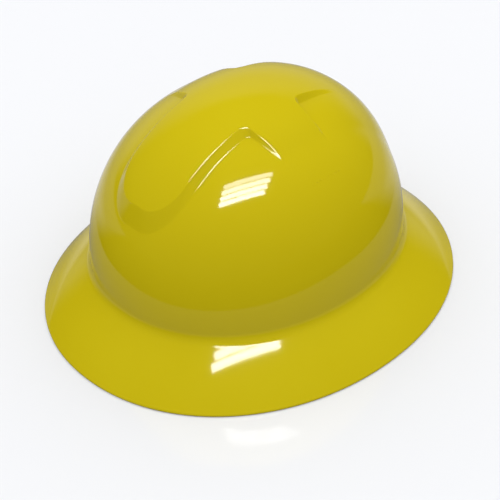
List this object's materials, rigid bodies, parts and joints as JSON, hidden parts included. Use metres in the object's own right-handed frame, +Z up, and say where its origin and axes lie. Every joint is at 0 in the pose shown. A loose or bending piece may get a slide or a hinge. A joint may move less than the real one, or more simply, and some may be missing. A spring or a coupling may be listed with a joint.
{
  "type": "full brim hard hat",
  "caption": "Dome helmet with a broad sloping brim all round and a raised crown, over a webbing suspension with a ratchet nape strap; protects a worker's head",
  "frame": {"origin": "centre of the rim in plan, at the height of the brim's lowest edge, which is the surface that the hat stands on", "axes": "+Z up, +X to the wearer's left, -Y to the front"},
  "size_m": [0.2916, 0.3244, 0.1665],
  "materials": {
    "shell_plastic": "glossy injection-moulded polyethylene, yellow through and through",
    "suspension_plastic": "dark grey moulded nylon with a fine matt grain",
    "knob_plastic": "black moulded plastic, satin",
    "webbing": "off-white woven polyester webbing with a ribbed weave",
    "pad_cloth": "dark grey brushed cloth over foam, stitched edge",
    "pad_foam": "black knitted cloth over foam",
    "steel": "small zinc-plated steel screws"
  },
  "bodies": {
    "root": {"shell": "shell_plastic", "key_front_left": "suspension_plastic", "key_front_right": "suspension_plastic", "key_rear_left": "suspension_plastic", "key_rear_right": "suspension_plastic", "crown_strap_lower": "webbing", "crown_strap_upper": "webbing", "crown_patch": "webbing"},
    "headband": {"headband": "suspension_plastic", "brow_pad": "pad_cloth"},
    "nape_yoke": {"pivot_rivet_left": "suspension_plastic", "pivot_rivet_right": "suspension_plastic", "nape_strap_left": "suspension_plastic", "nape_strap_right": "suspension_plastic"},
    "ratchet": {"ratchet_base": "suspension_plastic", "ratchet_cover": "suspension_plastic", "cover_screws": "steel", "nape_pad": "pad_foam"},
    "knob": {"pinion": "suspension_plastic", "click_spring": "suspension_plastic", "knob": "knob_plastic", "knob_screw": "steel"}
  },
  "joints": [
    {"name": "headband_height", "type": "slide", "parent": "root", "child": "headband", "axis": [0, 0, -1], "range_m": [0, 0.012]},
    {"name": "nape_swing", "type": "hinge", "parent": "headband", "child": "nape_yoke", "pos_m": [0, 0.008, 0.04], "axis": [-1, 0, 0], "range_deg": [0, 20]},
    {"name": "size_slide", "type": "slide", "parent": "nape_yoke", "child": "ratchet", "axis": [0, 0.9736, -0.2284], "range_m": [-0.007, 0.02], "deforming": ["nape_strap_left", "nape_strap_right"]},
    {"name": "knob_turn", "type": "hinge", "parent": "ratchet", "child": "knob", "pos_m": [0, 0.008, 0.04], "axis": [0, 0.9736, -0.2284], "range_deg": [-101, 287]}
  ],
  "couplings": [
    {"joint": "knob_turn", "follows": "size_slide", "rad_per_m": 250}
  ]
}
